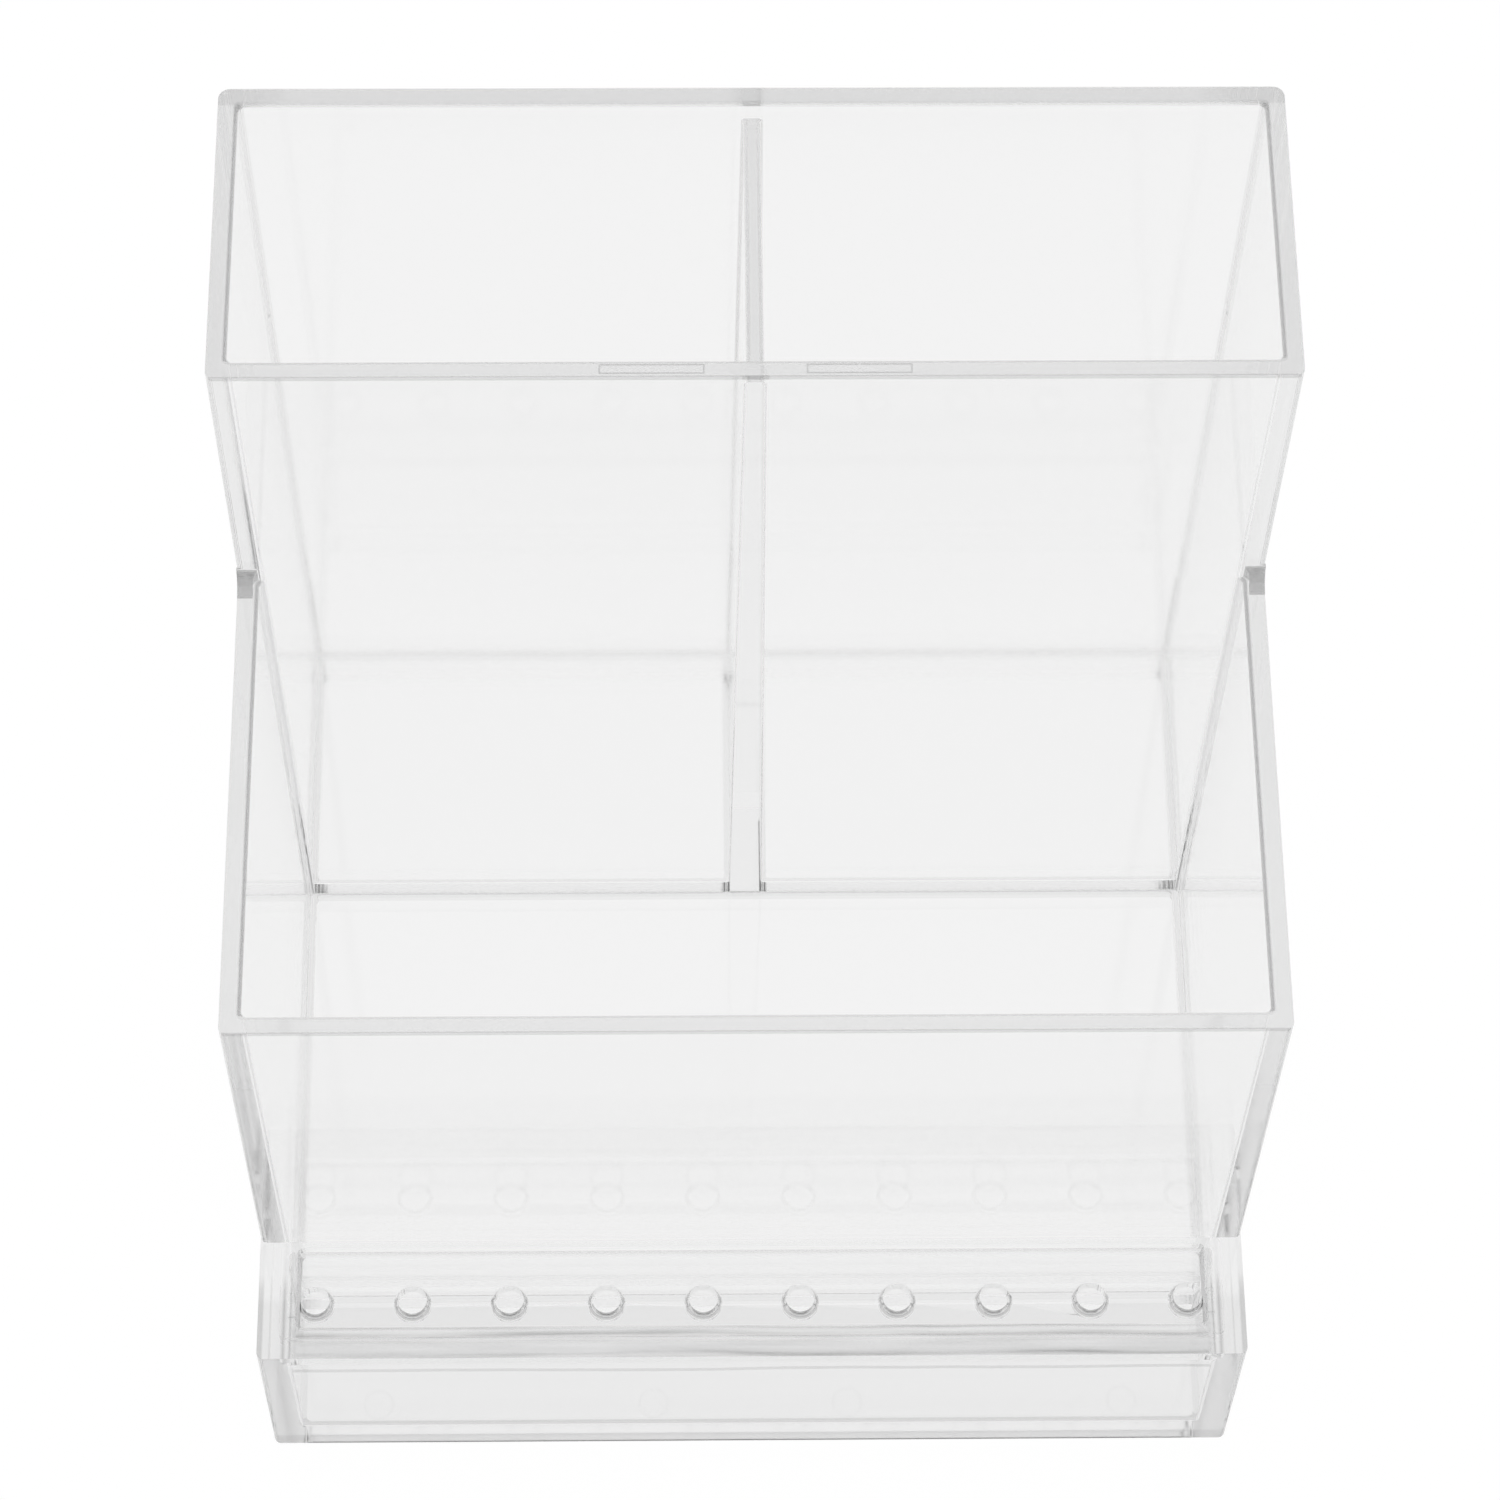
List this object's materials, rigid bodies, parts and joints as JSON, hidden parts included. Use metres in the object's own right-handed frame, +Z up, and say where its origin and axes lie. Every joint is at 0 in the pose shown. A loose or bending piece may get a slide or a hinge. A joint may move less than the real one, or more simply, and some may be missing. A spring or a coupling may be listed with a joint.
{
  "type": "vanity organizer",
  "caption": "Clear stepped vanity organizer: two tall cells at the back, an open bin in the middle and a low rack with a row of round holes at the front.",
  "frame": {"origin": "centre of the organizer's bounding box, on the surface that it stands on", "axes": "+Z up, +Y towards the tall section at the back, +X to the right seen from the front"},
  "size_m": [0.102, 0.095, 0.1125],
  "materials": {
    "clear_body": "polished, transparent, colourless",
    "clear_plate": "polished, transparent, colourless"
  },
  "bodies": {
    "root": {"body": "clear_body", "rack_plate": "clear_plate"}
  },
  "joints": []
}
